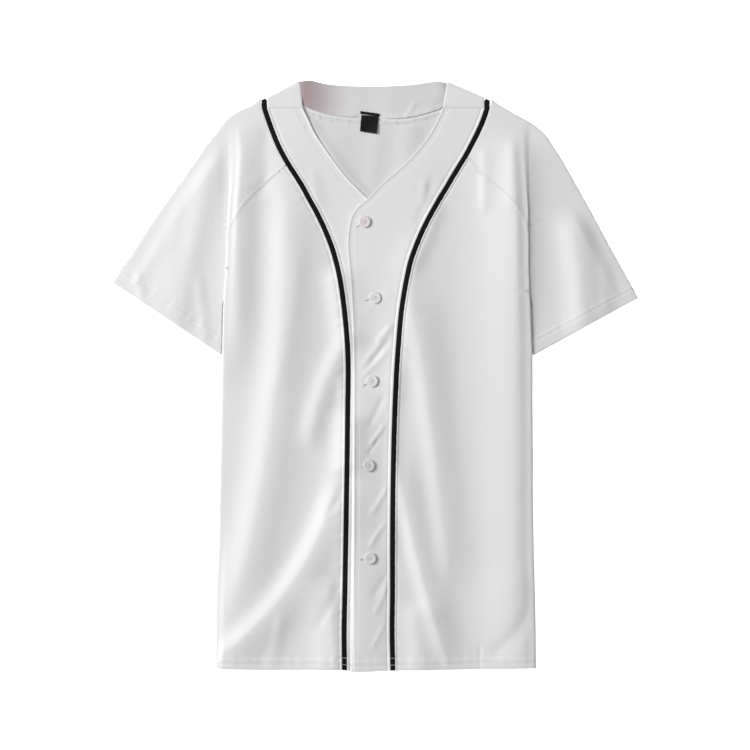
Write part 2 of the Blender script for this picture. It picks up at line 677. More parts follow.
# White knit. With blush, a faint pink that gathers at the two ends of the back neck band.
def makeKnit(name, white, shaded, blush=False):
    material, tree, shader = newMaterial(name, {"Roughness": 0.7, "Sheen Weight": 0.22, "Sheen Roughness": 0.42,
                                                "Specular IOR Level": 0.35})
    uv = addNode(tree, "ShaderNodeUVMap", {"uv_map": "UVMap"}).outputs[0]
    spot = addNode(tree, "ShaderNodeTexCoord").outputs["Object"]
    knit = useGroup(tree, knitGroup, {"Place": uv, "Wale": knitFinish["wale"], "Course": knitFinish["course"]})
    worn = useGroup(tree, handledGroup, {"Place": spot, "Cloud": 7.0, "Wrinkle": 30.0, "Lint": 1500.0})
    color = blendColor(tree, ranged(tree, knit.outputs["Shade"], 0.25, 1.0), shaded, white)
    cloud = ranged(tree, worn.outputs["Cloud"], 0.0, 0.16, 0.3, 0.75)
    color = blendColor(tree, cloud, color, shaded)
    if blush:
        split = addNode(tree, "ShaderNodeSeparateXYZ", None, {0: spot})
        rightEnd = ranged(tree, split.outputs[0], 0.95, 0.0, -0.086, -0.03)
        leftEnd = ranged(tree, split.outputs[0], 0.0, 0.22, 0.04, 0.085)
        color = blendColor(tree, calc(tree, "ADD", rightEnd, leftEnd), color, knitFinish["blush"])
    tree.links.new(color, shader.inputs["Base Color"])
    rough = ranged(tree, worn.outputs["Cloud"], 0.62, 0.78)
    tree.links.new(rough, shader.inputs["Roughness"])
    soft = addNode(tree, "ShaderNodeBump", None, {"Height": worn.outputs["Wrinkle"], "Strength": 0.3,
                                                  "Distance": knitFinish["wrinkleDeep"]})
    fine = addNode(tree, "ShaderNodeBump", None, {"Height": knit.outputs["Height"], "Strength": 0.55,
                                                  "Distance": knitFinish["knitDeep"], "Normal": soft.outputs[0]})
    tree.links.new(fine.outputs[0], shader.inputs["Normal"])
    return material


def makeWoven(name, dark, light, rib, warp, slant, roughness, deep):
    material, tree, shader = newMaterial(name, {"Roughness": roughness, "Specular IOR Level": 0.12})
    uv = addNode(tree, "ShaderNodeUVMap", {"uv_map": "UVMap"}).outputs[0]
    spot = addNode(tree, "ShaderNodeTexCoord").outputs["Object"]
    weave = useGroup(tree, ribGroup, {"Place": uv, "Rib": rib, "Warp": warp, "Slant": slant})
    worn = useGroup(tree, handledGroup, {"Place": spot, "Cloud": 30.0, "Wrinkle": 90.0, "Lint": 1300.0})
    color = blendColor(tree, weave.outputs["Shade"], dark, light)
    dusty = calc(tree, "MULTIPLY", worn.outputs["Lint"], 0.35)
    color = blendColor(tree, dusty, color, tuple(min(1, v * 3.2) for v in light[:3]) + (1,))
    tree.links.new(color, shader.inputs["Base Color"])
    tree.links.new(ranged(tree, worn.outputs["Cloud"], roughness - 0.08, roughness + 0.1), shader.inputs["Roughness"])
    bump = addNode(tree, "ShaderNodeBump", None, {"Height": weave.outputs["Height"], "Strength": 0.7, "Distance": deep})
    tree.links.new(bump.outputs[0], shader.inputs["Normal"])
    return material


def makeThread(name, color, shade):
    material, tree, shader = newMaterial(name, {"Roughness": 0.45, "Sheen Weight": 0.15, "Specular IOR Level": 0.45})
    spot = addNode(tree, "ShaderNodeTexCoord").outputs["Object"]
    worn = useGroup(tree, handledGroup, {"Place": spot, "Cloud": 300.0, "Wrinkle": 2600.0, "Lint": 3000.0})
    tree.links.new(blendColor(tree, ranged(tree, worn.outputs["Cloud"], 0, 1, 0.35, 0.65), color, shade),
                   shader.inputs["Base Color"])
    twist = addNode(tree, "ShaderNodeBump", None, {"Height": worn.outputs["Wrinkle"], "Strength": 0.4,
                                                   "Distance": 0.00006})
    tree.links.new(twist.outputs[0], shader.inputs["Normal"])
    return material


def makeButtonResin(name, base, cloudy):
    material, tree, shader = newMaterial(name, {"Roughness": 0.45, "Coat Weight": 0.1, "Coat Roughness": 0.3,
                                                "Subsurface Weight": 0.0})
    spot = addNode(tree, "ShaderNodeTexCoord").outputs["Object"]
    worn = useGroup(tree, handledGroup, {"Place": spot, "Cloud": 160.0, "Wrinkle": 700.0, "Lint": 2400.0})
    tree.links.new(blendColor(tree, ranged(tree, worn.outputs["Cloud"], 0, 1, 0.35, 0.7), base, cloudy),
                   shader.inputs["Base Color"])
    tree.links.new(ranged(tree, worn.outputs["Wrinkle"], 0.36, 0.6), shader.inputs["Roughness"])
    scuff = addNode(tree, "ShaderNodeBump", None, {"Height": worn.outputs["Lint"], "Strength": 0.25, "Distance": 0.00003})
    tree.links.new(scuff.outputs[0], shader.inputs["Normal"])
    return material


knit = makeKnit("whiteKnit", knitFinish["white"], knitFinish["shaded"])
innerKnit = makeKnit("innerKnit", knitFinish["innerWhite"], knitFinish["innerShaded"])
collarKnit = makeKnit("collarKnit", knitFinish["innerWhite"], knitFinish["innerShaded"], blush=True)
tapeWeave = makeWoven("blackTape", (0.003, 0.003, 0.003, 1), (0.008, 0.008, 0.009, 1), 0.00095, 0.0006, 0.0, 0.72, 0.00012)
labelWeave = makeWoven("blackLabel", (0.004, 0.004, 0.005, 1), (0.013, 0.013, 0.015, 1), 0.00042, 0.00042, 0.5, 0.5, 0.00004)
whiteThread = makeThread("whiteThread", (0.86, 0.86, 0.865, 1), (0.74, 0.74, 0.75, 1))
buttonResin = makeButtonResin("whiteResin", (0.80, 0.80, 0.80, 1), (0.72, 0.72, 0.725, 1))
blushResin = makeButtonResin("palePinkResin", (0.78, 0.73, 0.745, 1), (0.72, 0.66, 0.68, 1))
print("materials made")


# Cloth pieces

frontPanelSettings = {"rowStep": 2.7, "hemStep": 1.3, "columns": 78, "dense": 1100, "wall": 0.95, "rounded": 0.22}


def heightsDown(top, step, hemStep):
    plain = np.linspace(top, -346, int((top + 346) / step) + 1)
    close = np.linspace(-346, cut["hemLevel"], int((-346 - cut["hemLevel"]) / hemStep) + 1)
    return np.concatenate([plain, close[1:]])


def makeFrontPanel(side):
    s, out = frontPanelSettings, outward[side]
    tape = seams[side + "Tape"]
    y = heightsDown(raglanTop[side] - 1.3, s["rowStep"], s["hemStep"])
    start = tape(y) + out * (cut["tapeWide"] / 2 + cut["seamGap"]) * lean(tape, y)
    end = frontEnd(side, y)
    stop = end - out * halfGap(side, lambda v: frontEnd(side, v), end, y)
    t = np.linspace(0, 1, s["dense"])
    x = mix(start[:, None], stop[:, None], t)
    rows = layFront(side, x, rowHeight(x, y[:, None]), panelRelief(side))
    spacing = np.where(np.abs(x - start[:, None])[:, 1:] < 5, 1.0, 2.6)
    along = runLength(rows)
    place = np.stack([start[:, None] + out * along, rows[..., 1]], axis=-1)
    rows, place = evenOut(rows, place, s["columns"], spacing)
    piece = layCloth("frontPanel." + side, rows, place, knit, s["wall"], s["rounded"])
    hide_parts("front_" + side)
    return piece


bandSettings = {"rowStep": 2.4, "hemStep": 1.3, "columns": 42, "dense": 420, "wall": 0.95, "rounded": 0.3}


def makeBand(side):
    s, out = bandSettings, outward[side]
    tape, neck = seams[side + "Tape"], seams[side + "Neck"]
    y = heightsDown(cut["bandTop"] - cut["seamGap"] / 2, s["rowStep"], s["hemStep"])
    start = tape(y) - out * (cut["tapeWide"] / 2 + cut["seamGap"]) * lean(tape, y)
    x = mix(start[:, None], neck(y)[:, None], np.linspace(0, 1, s["dense"]))
    rows = layFront(side, x, rowHeight(x, y[:, None]), bandRelief(side))
    near = np.minimum(np.abs(x - start[:, None]) - 5, np.abs(x - neck(y)[:, None]) - 9)[:, 1:]
    spacing = np.where(near < 0, 0.9, 2.4)
    place = np.stack([start[:, None] - out * runLength(rows), rows[..., 1]], axis=-1)
    rows, place = evenOut(rows, place, s["columns"], spacing)
    piece = layCloth("frontBand." + side, rows, place, knit, s["wall"], s["rounded"])
    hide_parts("band_" + side)
    return piece


# Point of the overarm outline at a share of its length, set in by the fold, with its outward direction.
def outlinePoint(side, share):
    line = outlines[side]
    step = np.hypot(np.diff(line["x"]), np.diff(line["y"]))
    length = np.concatenate([[0], np.cumsum(step)])
    rows = {"s": length / length[-1], "x": line["x"], "y": line["y"]}
    x, y = through(rows, "s", "x"), through(rows, "s", "y")
    low, high = np.clip(share - 0.02, 0, 1), np.clip(share + 0.02, 0, 1)
    runX, runY = x(high) - x(low), y(high) - y(low)
    size = np.hypot(runX, runY)
    nx, ny = outward[side] * runY / size, -outward[side] * runX / size
    inset = cut["overarmRadius"] + cut["cloth"] / 2
    return x(share) - nx * inset, y(share) - ny * inset, nx, ny


# Half turn of cloth over the edge at (x, y), from the front level down to the back.
def curlOver(x, y, nx, ny, steps):
    a = np.linspace(0, np.pi, steps + 1)
    radius = cut["overarmRadius"]
    x, y, nx, ny = (np.asarray(v, float)[..., None] for v in (x, y, nx, ny))
    return np.stack([x + nx * radius * np.sin(a), y + ny * radius * np.sin(a),
                     cut["backLevel"] + radius + radius * np.cos(a) + 0 * x], axis=-1)


sleeveSettings = {"upperRows": 92, "armRows": 24, "cuffStep": 1.5, "columns": 134, "dense": 900,
                  "wall": 0.95, "rounded": 0.22, "grain": {"right": -0.86, "left": 0.86}}


# One piece round the arm: front half, overarm fold and back half, row by row from the neck to the cuff.
def makeSleeve(side):
    s, out = sleeveSettings, outward[side]
    tape = seams[side + "Tape"]
    top, cross, arm, cuff = raglanTop[side], cut["raglanCross"], cut["underarm"], cut["cuffInner"]
    k = np.linspace(0, 16, s["upperRows"])
    upper = np.where(k <= 8, mix(top, cross, k / 8), mix(cross, arm, (k - 8) / 8))
    lower = np.concatenate([np.linspace(arm, cuff + 23, s["armRows"])[1:],
                            np.linspace(cuff + 23, cuff, int(23 / s["cuffStep"]) + 1)[1:]])
    y = np.concatenate([upper, lower])
    k = np.concatenate([k, 16 + 5 * (arm - lower) / (arm - cuff)])
    seamShare = np.where(k <= 8, k / 8, 1 + (cross - y) / (cross - cuff))
    endX, endY, nx, ny = outlinePoint(side, fanAt(seamShare))
    tapeEdge = lambda v: tape(v) + out * (cut["tapeWide"] / 2 + cut["seamGap"]) * lean(tape, v)
    end = frontEnd(side, y)
    x0 = end + out * halfGap(side, lambda v: frontEnd(side, v), end, y)
    wrap = np.clip(k - 16, 0, 1)
    zone, reach, foldStart = armholeFold(side, y)
    x0 = mix(x0, out * (foldStart + zone + 0.3), wrap)
    x0 = np.where(k == 0, tapeEdge(y), x0)
    t = np.linspace(0, 1, s["dense"])
    py = mix(y[:, None], endY[:, None], t)
    straight = mix(tapeEdge(top), endX[0], t)
    bowed = tapeEdge(mix(top, endY[0], t))
    follow = np.clip(1 - k / 5, 0, 1)[:, None]
    px = mix(x0[:, None], endX[:, None], t) + follow * (bowed - straight) * ease((1 - t) / 0.15)
    front = layFront(side, px, py, sleeveRelief(side))
    fall = ((cut["frontLevel"] - cut["backLevel"] + sleeveRise[side](y)) * wrap)[:, None]
    front[..., 2] -= fall * (1 - ease(np.abs(px - x0[:, None]) / 1.3))
    curl = curlOver(endX, endY, nx, ny, 14)[:, 1:]
    backY = np.where(k <= 16, mix(333, arm, np.clip(k, 0, 16) / 16), y)
    seamX = backEdge[side](backY) + out * cut["seamGap"] * lean(backEdge[side], backY)
    backX = mix(seamX, out * (bodyEdge(side, y) + 1.7), wrap)
    share = np.clip(1 - k / 5, 0, 1)
    bendX = mix((endX + backX) / 2, out * 139, share)[:, None]
    bendY = mix((endY + backY) / 2, 322, share)[:, None]
    u = np.linspace(0, 1, 90)[1:]
    backX = (1 - u) ** 2 * endX[:, None] + 2 * u * (1 - u) * bendX + u ** 2 * backX[:, None]
    backY = (1 - u) ** 2 * endY[:, None] + 2 * u * (1 - u) * bendY + u ** 2 * backY[:, None]
    back = np.stack([backX, backY, np.full(backX.shape, cut["backLevel"])], axis=-1)
    # the front half is unrolled from the overarm, so that the knit doesn't stretch in the armhole fold
    left = runLength(front)[:, -1:] - runLength(front)
    reach = np.hypot(px[:, :1] - endX[:, None], py[:, :1] - endY[:, None])
    flatX = endX[:, None] + (px[:, :1] - endX[:, None]) / reach * left
    flatY = endY[:, None] + (py[:, :1] - endY[:, None]) / reach * left
    rows = np.concatenate([front, curl, back], axis=1)
    place = np.concatenate([np.stack([flatX, flatY], axis=-1), curl[..., :2], back[..., :2]], axis=1)
    turn = s["grain"][side]
    place = np.stack([place[..., 0] * math.cos(turn) + place[..., 1] * math.sin(turn),
                      place[..., 1] * math.cos(turn) - place[..., 0] * math.sin(turn)], axis=-1)
    rows, place = evenOut(rows, place, s["columns"], 2.7)
    piece = layCloth("sleeve." + side, rows, place, knit, s["wall"], s["rounded"])
    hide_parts("sleeve_" + side)
    return piece


backSettings = {"columns": 78, "wall": 0.95, "rounded": 0.3}


# Seam allowance of the back neck, turned down and lying on the inside of the back.
def backRelief(x, y):
    down = backNeckAt(x) - y
    flat = ease((y - 150) / 40)
    height = 0.5 * ease((sewn["neckTapeWide"] - down) / 2.4) * ease((down - 1) / 4) * flat
    height = height + groove(down, 0, 2.6, 0.5) * flat
    height = height + puckers(x * 1.5, 0.34, 0.5) * np.exp(-((down - 6) / 4.5) ** 2) * flat
    underNeck = x - seams["rightNeck"](y)
    height = height + 1.4 * np.exp(-((underNeck - 1) / 9) ** 2) * ease((down - 4) / 16) * ease((y - 205) / 20)
    return height + foldHeight(backCreases, x, y) * ease((down - 2) / 14) * ease((y - 190) / 40)


def makeBack():
    s = backSettings
    y = np.concatenate([[339.6], np.linspace(333, 306, 28), np.linspace(306, 190, 40)[1:],
                        np.linspace(190, cut["hemLevel"], 90)[1:]])
    edge = {side: np.where(y >= cut["underarm"], backEdge[side](y), outward[side] * (bodyEdge(side, y) - 2.5))
            for side in outward}
    x = mix(edge["right"][:, None], edge["left"][:, None], np.linspace(0, 1, s["columns"]))
    dip = backNeckAt(x) - cut["seamGap"] - 339.6
    py = rowHeight(x, y[:, None]) + np.minimum(dip, 0) * ease((y[:, None] - 215) / 124.6)
    rows = np.stack([x, py, cut["backLevel"] + backRelief(x, py)], axis=-1)
    piece = layCloth("backBody", rows, rows[..., :2], knit, s["wall"], s["rounded"], facing=-1, inner=innerKnit)
    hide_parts("back_body")
    return piece


# Where the band and piping turn over the shoulder: the outline line set in by the fold.
shoulderTurn = {
    "right": {"tape": (-141.6, 344.2), "band": (-137.9, 346.1), "neck": (-96.6, 367.8), "toward": (-0.464, 0.886)},
    "left": {"tape": (138.2, 343.6), "band": (134.2, 346.4), "neck": (87.7, 366.3), "toward": (0.42, 0.907)},
}
pipingBack = {
    "right": [(-136.5, 338.4), (-131, 335.6), (-120, 335), (-108.6, 336.6)],
    "left": [(133.5, 338.4), (128.5, 335.6), (118, 335), (106.6, 336.6)],
}

# Back neck band, rung by rung from the wearer's right shoulder to the left: seam below, turned edge above.
neckRungs = table("step seamX seamY edgeX edgeY", [
    (0, -124, 338.9, -91, 368.6), (1, -107, 340.6, -82, 369), (2, -94, 339.2, -72, 366.6),
    (3, -80, 333.5, -60, 364.4), (4, -64, 328.6, -48, 363.4), (5, -40, 325.4, -32, 362.6),
    (6, -2, 323.4, -1, 362), (7, 29, 323.4, 26, 363), (8, 54, 327.4, 46, 364.4), (9, 75, 334, 60, 366.4),
    (10, 88, 339.4, 70, 367.6), (11, 105, 340.6, 77, 367.8), (12, 121, 338.9, 83, 367),
])
neckSettings = {"columns": 17, "frontRows": 7, "curlSteps": 8, "middleRows": 110, "wall": 0.95, "rounded": 0.34}


def makeNeckBand():
    s = neckSettings
    t = np.linspace(0, 1, s["columns"])
    ends = {}
    for side in outward:
        out, turn, tape = outward[side], shoulderTurn[side], seams[side + "Tape"]
        y = cut["bandTop"] + cut["seamGap"] / 2
        seamX = tape(y) - out * (cut["tapeWide"] / 2 + cut["seamGap"]) * lean(tape, y)
        edgeX = seams[side + "Neck"](y)
        u = np.linspace(0, 1, s["frontRows"])[:-1, None]
        turnX, turnY = mix(turn["band"][0], turn["neck"][0], t), mix(turn["band"][1], turn["neck"][1], t)
        x, py = mix(mix(seamX, edgeX, t), turnX, u), mix(y, turnY, u)
        fromEdge = (1 - t) * 46
        stitched = puff(fromEdge, -0.8, 2.8, 0.34) + groove(fromEdge, sewn["neckRow"], 1.4, 0.2)
        face = layFront(side, x, py, lambda a, b: sideLift(side, a, b) + stitched * ease((cut["bandTop"] + 10 - b) / 8))
        curl = curlOver(turnX, turnY, turn["toward"][0], turn["toward"][1], s["curlSteps"]).transpose(1, 0, 2)
        ends[side] = np.concatenate([face, curl])
    step = np.linspace(0, 12, s["middleRows"])[:, None]
    seamX, seamY = through(neckRungs, "step", "seamX")(step), through(neckRungs, "step", "seamY")(step)
    edgeX, edgeY = through(neckRungs, "step", "edgeX")(step), through(neckRungs, "step", "edgeY")(step)
    clear = 1 - np.exp(-((seamX + 9) / 18) ** 4)
    seamY = seamY - 1.5 * clear * ease((106 - np.abs(seamX)) / 12)
    x, y = mix(seamX, edgeX, t), mix(seamY, edgeY, t)
    crease = 0.6 * np.exp(-(((x - 45) - (y - 337) * 0.6) / 2.2) ** 2) * ease((346 - y) / 6)
    swell = 0.35 * np.sin(x / 17 + 0.6) ** 2 + puff(np.hypot(x - edgeX, y - edgeY), -0.8, 3.2, 0.35)
    stand = 2.3 * np.exp(-((x + 93) / 24) ** 2) * ease((x + 101) / 6)
    stand = stand + 1.6 * np.exp(-((x - 84) / 16) ** 2) * ease((90 - x) / 6)
    fromSeam = np.hypot(x - seamX, y - seamY)
    rolled = (1.15 + puckers(x * 1.3, 0.3, 0.9)) * clear * np.exp(-(fromSeam / 4.5) ** 2)
    middle = np.stack([x, y, cut["backLevel"] + crease + swell + stand * ease(fromSeam / 14) + rolled], axis=-1)
    rows = np.concatenate([ends["right"], middle, ends["left"][::-1]])
    across = runLength(rows)
    along = np.concatenate([[0], np.cumsum(np.linalg.norm(np.diff(rows[:, 8], axis=0), axis=1))])
    place = np.stack([along[:, None] + 0 * across, across], axis=-1)
    piece = layCloth("backNeckBand", rows, place, knit, s["wall"], s["rounded"], facing=-1, inner=collarKnit)
    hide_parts("back_neck_band")
    return piece


tapeSettings = {"columns": 9, "rowStep": 2.2, "wall": 0.95, "rounded": 0.34, "crown": 0.28}


def makePiping(side):
    s, out = tapeSettings, outward[side]
    tape = seams[side + "Tape"]
    t = np.linspace(-1, 1, s["columns"])
    y = heightsDown(cut["bandTop"], s["rowStep"], 1.6)[::-1, None]
    crown = cut["tapeProud"] + s["crown"] * (1 - t * t)
    x = tape(y) + t * out * cut["tapeWide"] / 2 * lean(tape, y)
    py = rowHeight(x, y)
    lift = lambda a, b: sideLift(side, a, b)
    face = layFront(side, x, py, lift) + squareTo(side, x, py, lift) * crown[:, None]
    cross = groove(py - hemAt(x) + cut["hemLevel"], sewn["hemRows"][0], 0.9, 0.35)
    cross = cross + groove(py - hemAt(x) + cut["hemLevel"], sewn["hemRows"][1], 0.9, 0.35)
    face[..., 2] += cross + puckers(y * 0.9, 0.07, 0.3)
    turn = shoulderTurn[side]
    nx, ny = turn["toward"]
    edgeX = turn["tape"][0] + t * ny * out * cut["tapeWide"] / 2
    edgeY = turn["tape"][1] - t * nx * out * cut["tapeWide"] / 2
    curl = curlOver(edgeX, edgeY, nx, ny, 10).transpose(1, 0, 2)
    path = np.array([turn["tape"]] + pipingBack[side])
    u = np.linspace(0, len(path) - 1, 22)[1:]
    knots = {"u": np.arange(len(path), dtype=float), "x": path[:, 0], "y": path[:, 1]}
    backX, backY = through(knots, "u", "x"), through(knots, "u", "y")
    runX, runY = backX(u + 0.05) - backX(u - 0.05), backY(u + 0.05) - backY(u - 0.05)
    size = np.hypot(runX, runY)
    back = np.stack([backX(u)[:, None] - t * out * (runY / size)[:, None] * cut["tapeWide"] / 2,
                     backY(u)[:, None] + t * out * (runX / size)[:, None] * cut["tapeWide"] / 2,
                     np.full((len(u), len(t)), cut["backLevel"])], axis=-1)
    rows = np.concatenate([face, curl, back])
    along = np.concatenate([[0], np.cumsum(np.linalg.norm(np.diff(rows[:, 4], axis=0), axis=1))])
    place = np.stack([t * 3 + 0 * along[:, None], along[:, None] + 0 * t], axis=-1)
    piece = layCloth("piping." + side, rows, place, tapeWeave, s["wall"], s["rounded"])
    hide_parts("piping_" + side)
    return piece


panels = {side: makeFrontPanel(side) for side in outward}
print("front panels laid")
bands = {side: makeBand(side) for side in outward}
print("neck and front bands laid")
sleeves = {side: makeSleeve(side) for side in outward}
print("sleeves laid")
backBody = makeBack()
neckBand = makeNeckBand()
print("back and back neck band laid")
pipings = {side: makePiping(side) for side in outward}
print("piping laid")


# Label

labelSettings = {"barRight": (-20.9, 330.9), "barLeft": (2.6, 327.8), "barHigh": 3.4, "topRight": (-19.6, 326.0),
                 "topLeft": (2.4, 324.6), "bottomRight": (-21.3, 305.6), "bottomLeft": (-0.6, 302.5),
                 "level": 2.05, "wall": 0.6, "rows": 22, "columns": 22}


# Woven label folded in two: its doubled top edge shows above the row of stitches, its body hangs below.
def makeLabel():
    s = labelSettings
    u, v = np.linspace(0, 1, s["rows"])[:, None], np.linspace(0, 1, s["columns"])
    x = mix(mix(s["topRight"][0], s["topLeft"][0], v), mix(s["bottomRight"][0], s["bottomLeft"][0], v), u)
    y = mix(mix(s["topRight"][1], s["topLeft"][1], v), mix(s["bottomRight"][1], s["bottomLeft"][1], v), u)
    high = s["level"] + 0.75 * ease(u) * (0.35 + (2 * v - 0.9) ** 2) + 0.2 * np.sin(v * 5 + u * 2)
    body = np.stack([x, y, high + 0 * x], axis=-1)
    place = np.stack([v * 22 + 0 * u, u * 25 + 0 * v], axis=-1)
    piece = layCloth("neckLabel", body, place, labelWeave, s["wall"], 0.2)
    w = np.linspace(0, 1, 6)[:, None]
    x = mix(s["barRight"][0], s["barLeft"][0], v) + 0 * w
    y = mix(s["barRight"][1], s["barLeft"][1], v) - w * s["barHigh"]
    bar = np.stack([x, y, s["level"] + 0.35 + 0.35 * np.sin(w * math.pi) + 0 * x], axis=-1)
    place = np.stack([v * 23 + 0 * w, 30 + w * 3.4 + 0 * v], axis=-1)
    fold = layCloth("labelFold", bar, place, labelWeave, s["wall"] + 0.3, 0.3)
    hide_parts("neck_label")
    return piece, fold


label, labelFold = makeLabel()
print("label laid")


# Buttons

buttonSettings = {"radius": 7.4, "foot": 5.0, "thick": 2.2, "rimWide": 2.2, "dish": 0.06, "holeRadius": 0.75,
                  "holeFromMiddle": 1.75}


def joinCutters(cutters):
    bpy.ops.object.select_all(action="DESELECT")
    for piece in cutters:
        piece.select_set(True)
    bpy.context.view_layer.objects.active = cutters[0]
    bpy.ops.object.join()
    joined = bpy.context.object
    bpy.ops.object.select_all(action="DESELECT")
    return joined


# One button at the origin, shaped from a short cylinder: foot, rounded rim, dished middle, four holes.
def modelButton():
    s = buttonSettings
    bpy.ops.mesh.primitive_cylinder_add(vertices=48, radius=s["radius"] / 1000, depth=1.1 / 1000,
                                        location=(0, 0, 1.25 / 1000))
    body = bpy.context.object
    bpy.ops.object.transform_apply(location=True)
    mesh = body.data
    bpy.ops.object.mode_set(mode="EDIT")
    bpy.ops.mesh.select_mode(type="FACE")
    bpy.ops.mesh.select_all(action="DESELECT")
    bpy.ops.object.mode_set(mode="OBJECT")
    for face in mesh.polygons:
        face.select = face.normal.z < -0.9
    bpy.ops.object.mode_set(mode="EDIT")
    bpy.ops.mesh.extrude_region_move(TRANSFORM_OT_translate={"value": (0, 0, -0.7 / 1000)})
    bpy.ops.transform.resize(value=(s["foot"] / s["radius"], s["foot"] / s["radius"], 1))
    bpy.ops.mesh.select_all(action="DESELECT")
    bpy.ops.object.mode_set(mode="OBJECT")
    for face in mesh.polygons:
        face.select = face.normal.z > 0.9
    bpy.ops.object.mode_set(mode="EDIT")
    bpy.ops.mesh.inset(thickness=s["rimWide"] / 1000, depth=0)
    bpy.ops.mesh.inset(thickness=0.6 / 1000, depth=-s["dish"] / 1000)
    bpy.ops.mesh.inset(thickness=1.2 / 1000, depth=-0.05 / 1000)
    bpy.ops.object.mode_set(mode="OBJECT")
    cutters = []
    for i in range(4):
        a = math.pi / 4 + i * math.pi / 2
        bpy.ops.mesh.primitive_cylinder_add(vertices=14, radius=s["holeRadius"] / 1000, depth=8 / 1000,
                                            location=(math.cos(a) * s["holeFromMiddle"] / 1000,
                                                      math.sin(a) * s["holeFromMiddle"] / 1000, 0))
        cutters.append(bpy.context.object)
    cutter = joinCutters(cutters)
    body.select_set(True)
    bpy.context.view_layer.objects.active = body
    edge = body.modifiers.new("softRim", "BEVEL")
    edge.width, edge.segments, edge.limit_method = 0.5 / 1000, 3, "ANGLE"
    edge.angle_limit = math.radians(28)
    bpy.ops.object.modifier_apply(modifier="softRim")
    holes = body.modifiers.new("holes", "BOOLEAN")
    holes.object, holes.operation, holes.solver = cutter, "DIFFERENCE", "EXACT"
    bpy.ops.object.modifier_apply(modifier="holes")
    bpy.data.objects.remove(cutter)
    bpy.ops.object.shade_smooth_by_angle(angle=math.radians(35))
    bpy.ops.object.select_all(action="DESELECT")
    return body


# Copies of one small shape, each turned and moved to its own frame, joined in one mesh.
def copiesOf(name, shape, frames, material):
    mesh = shape.data
    points = np.zeros(len(mesh.vertices) * 3)
    mesh.vertices.foreach_get("co", points)
    points = points.reshape(-1, 3)
    faces = [list(face.vertices) for face in mesh.polygons]
    placed, listed = [], []
    for i, (origin, along, across, up) in enumerate(frames):
        turn = np.stack([along, across, up])
        placed.append(points @ turn + origin)
        listed += [[v + i * len(points) for v in face] for face in faces]
    joined = bpy.data.meshes.new(name)
    joined.from_pydata(np.concatenate(placed).tolist(), [], listed)
    joined.materials.append(material)
    piece = bpy.data.objects.new(name, joined)
    bpy.context.collection.objects.link(piece)
    joined.shade_smooth()
    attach(piece, "root")
    return piece


# Frame of a point on the front: place in metres, direction along, across and square to the cloth.
def frameOn(side, x, y, relief, toward, lifted=0.0):
    p = layFront(side, x, y, relief)
    n = squareTo(side, x, y, relief)
    p = (p + n * lifted + [cut["shiftX"], cut["shiftY"], 0]) / 1000
    along = toward - n * np.dot(toward, n)
    along = along / np.linalg.norm(along)
    return p, along, np.cross(n, along), n


def makeButtons():
    s = buttonSettings
    shape = modelButton()
    made = []
    relief = lambda a, b: leftLift(a, b)
    for i, (x, y) in enumerate(buttons):
        a = (0.5, 0.15, -0.3, 0.75, 0.3)[i]
        spot = frameOn("left", np.array(float(x)), np.array(float(y)), relief, np.array([math.cos(a), math.sin(a), 0]),
                       cut["cloth"] / 2)
        piece = copiesOf("button.%d" % (i + 1), shape, [spot], blushResin if i == 0 else buttonResin)
        piece.data.shade_smooth()
        bpy.context.view_layer.objects.active = piece
        piece.select_set(True)
        bpy.ops.object.shade_smooth_by_angle(angle=math.radians(35))
        bpy.ops.object.select_all(action="DESELECT")
        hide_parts("button_%d" % (i + 1))
        made.append((piece, spot))
    bpy.data.objects.remove(shape)
    return made


buttonPieces = makeButtons()
print("buttons made")


# Stitching

stitchSettings = {"long": 2.5, "pitch": 3.0, "radius": 0.21}


# One stitch at the origin, lying along X: a six sided thread, its two ends drawn in and dipping.
def modelStitch(long, radius):
    bpy.ops.mesh.primitive_cylinder_add(vertices=6, radius=radius / 1000, depth=long * 0.62 / 1000,
                                        rotation=(0, math.pi / 2, 0))
    stitch = bpy.context.object
    bpy.ops.object.transform_apply(rotation=True)
    bpy.ops.object.mode_set(mode="EDIT")
    bpy.ops.mesh.select_mode(type="FACE")
    bpy.ops.mesh.select_all(action="DESELECT")
    bpy.ops.object.mode_set(mode="OBJECT")
    for face in stitch.data.polygons:
        face.select = abs(face.normal.x) > 0.9
    bpy.ops.object.mode_set(mode="EDIT")
    bpy.ops.mesh.inset(thickness=radius * 0.45 / 1000, depth=long * 0.19 / 1000, use_individual=True)
    bpy.ops.object.mode_set(mode="OBJECT")
    for point in stitch.data.vertices:
        share = abs(point.co.x) / (long / 2000)
        point.co.z -= radius * 0.9 / 1000 * share ** 3
    bpy.ops.object.select_all(action="DESELECT")
    return stitch


stitch = modelStitch(stitchSettings["long"], stitchSettings["radius"])
smallStitch = modelStitch(1.5, 0.17)
threadBar = modelStitch(3.6, 0.3)


# Frames of stitches at an even pitch along a line of the flat cut on one side of the front.
def stitchLine(side, x, y, relief, pitch, lifted):
    points = layFront(side, x, y, relief)
    length = np.concatenate([[0], np.cumsum(np.linalg.norm(np.diff(points, axis=0), axis=1))])
    at = np.arange(pitch / 2, length[-1] - pitch / 2, pitch)
    sx, sy = np.interp(at, length, x), np.interp(at, length, y)
    ahead = np.stack([np.interp(at + 0.4, length, points[:, i]) for i in range(3)], axis=-1)
    behind = np.stack([np.interp(at - 0.4, length, points[:, i]) for i in range(3)], axis=-1)
    toward = ahead - behind
    p, n = layFront(side, sx, sy, relief), squareTo(side, sx, sy, relief)
    p = (p + n * lifted + [cut["shiftX"], cut["shiftY"], 0]) / 1000
    along = toward - n * (toward * n).sum(1, keepdims=True)
    along = along / np.linalg.norm(along, axis=1, keepdims=True)
    return list(zip(p, along, np.cross(n, along), n))


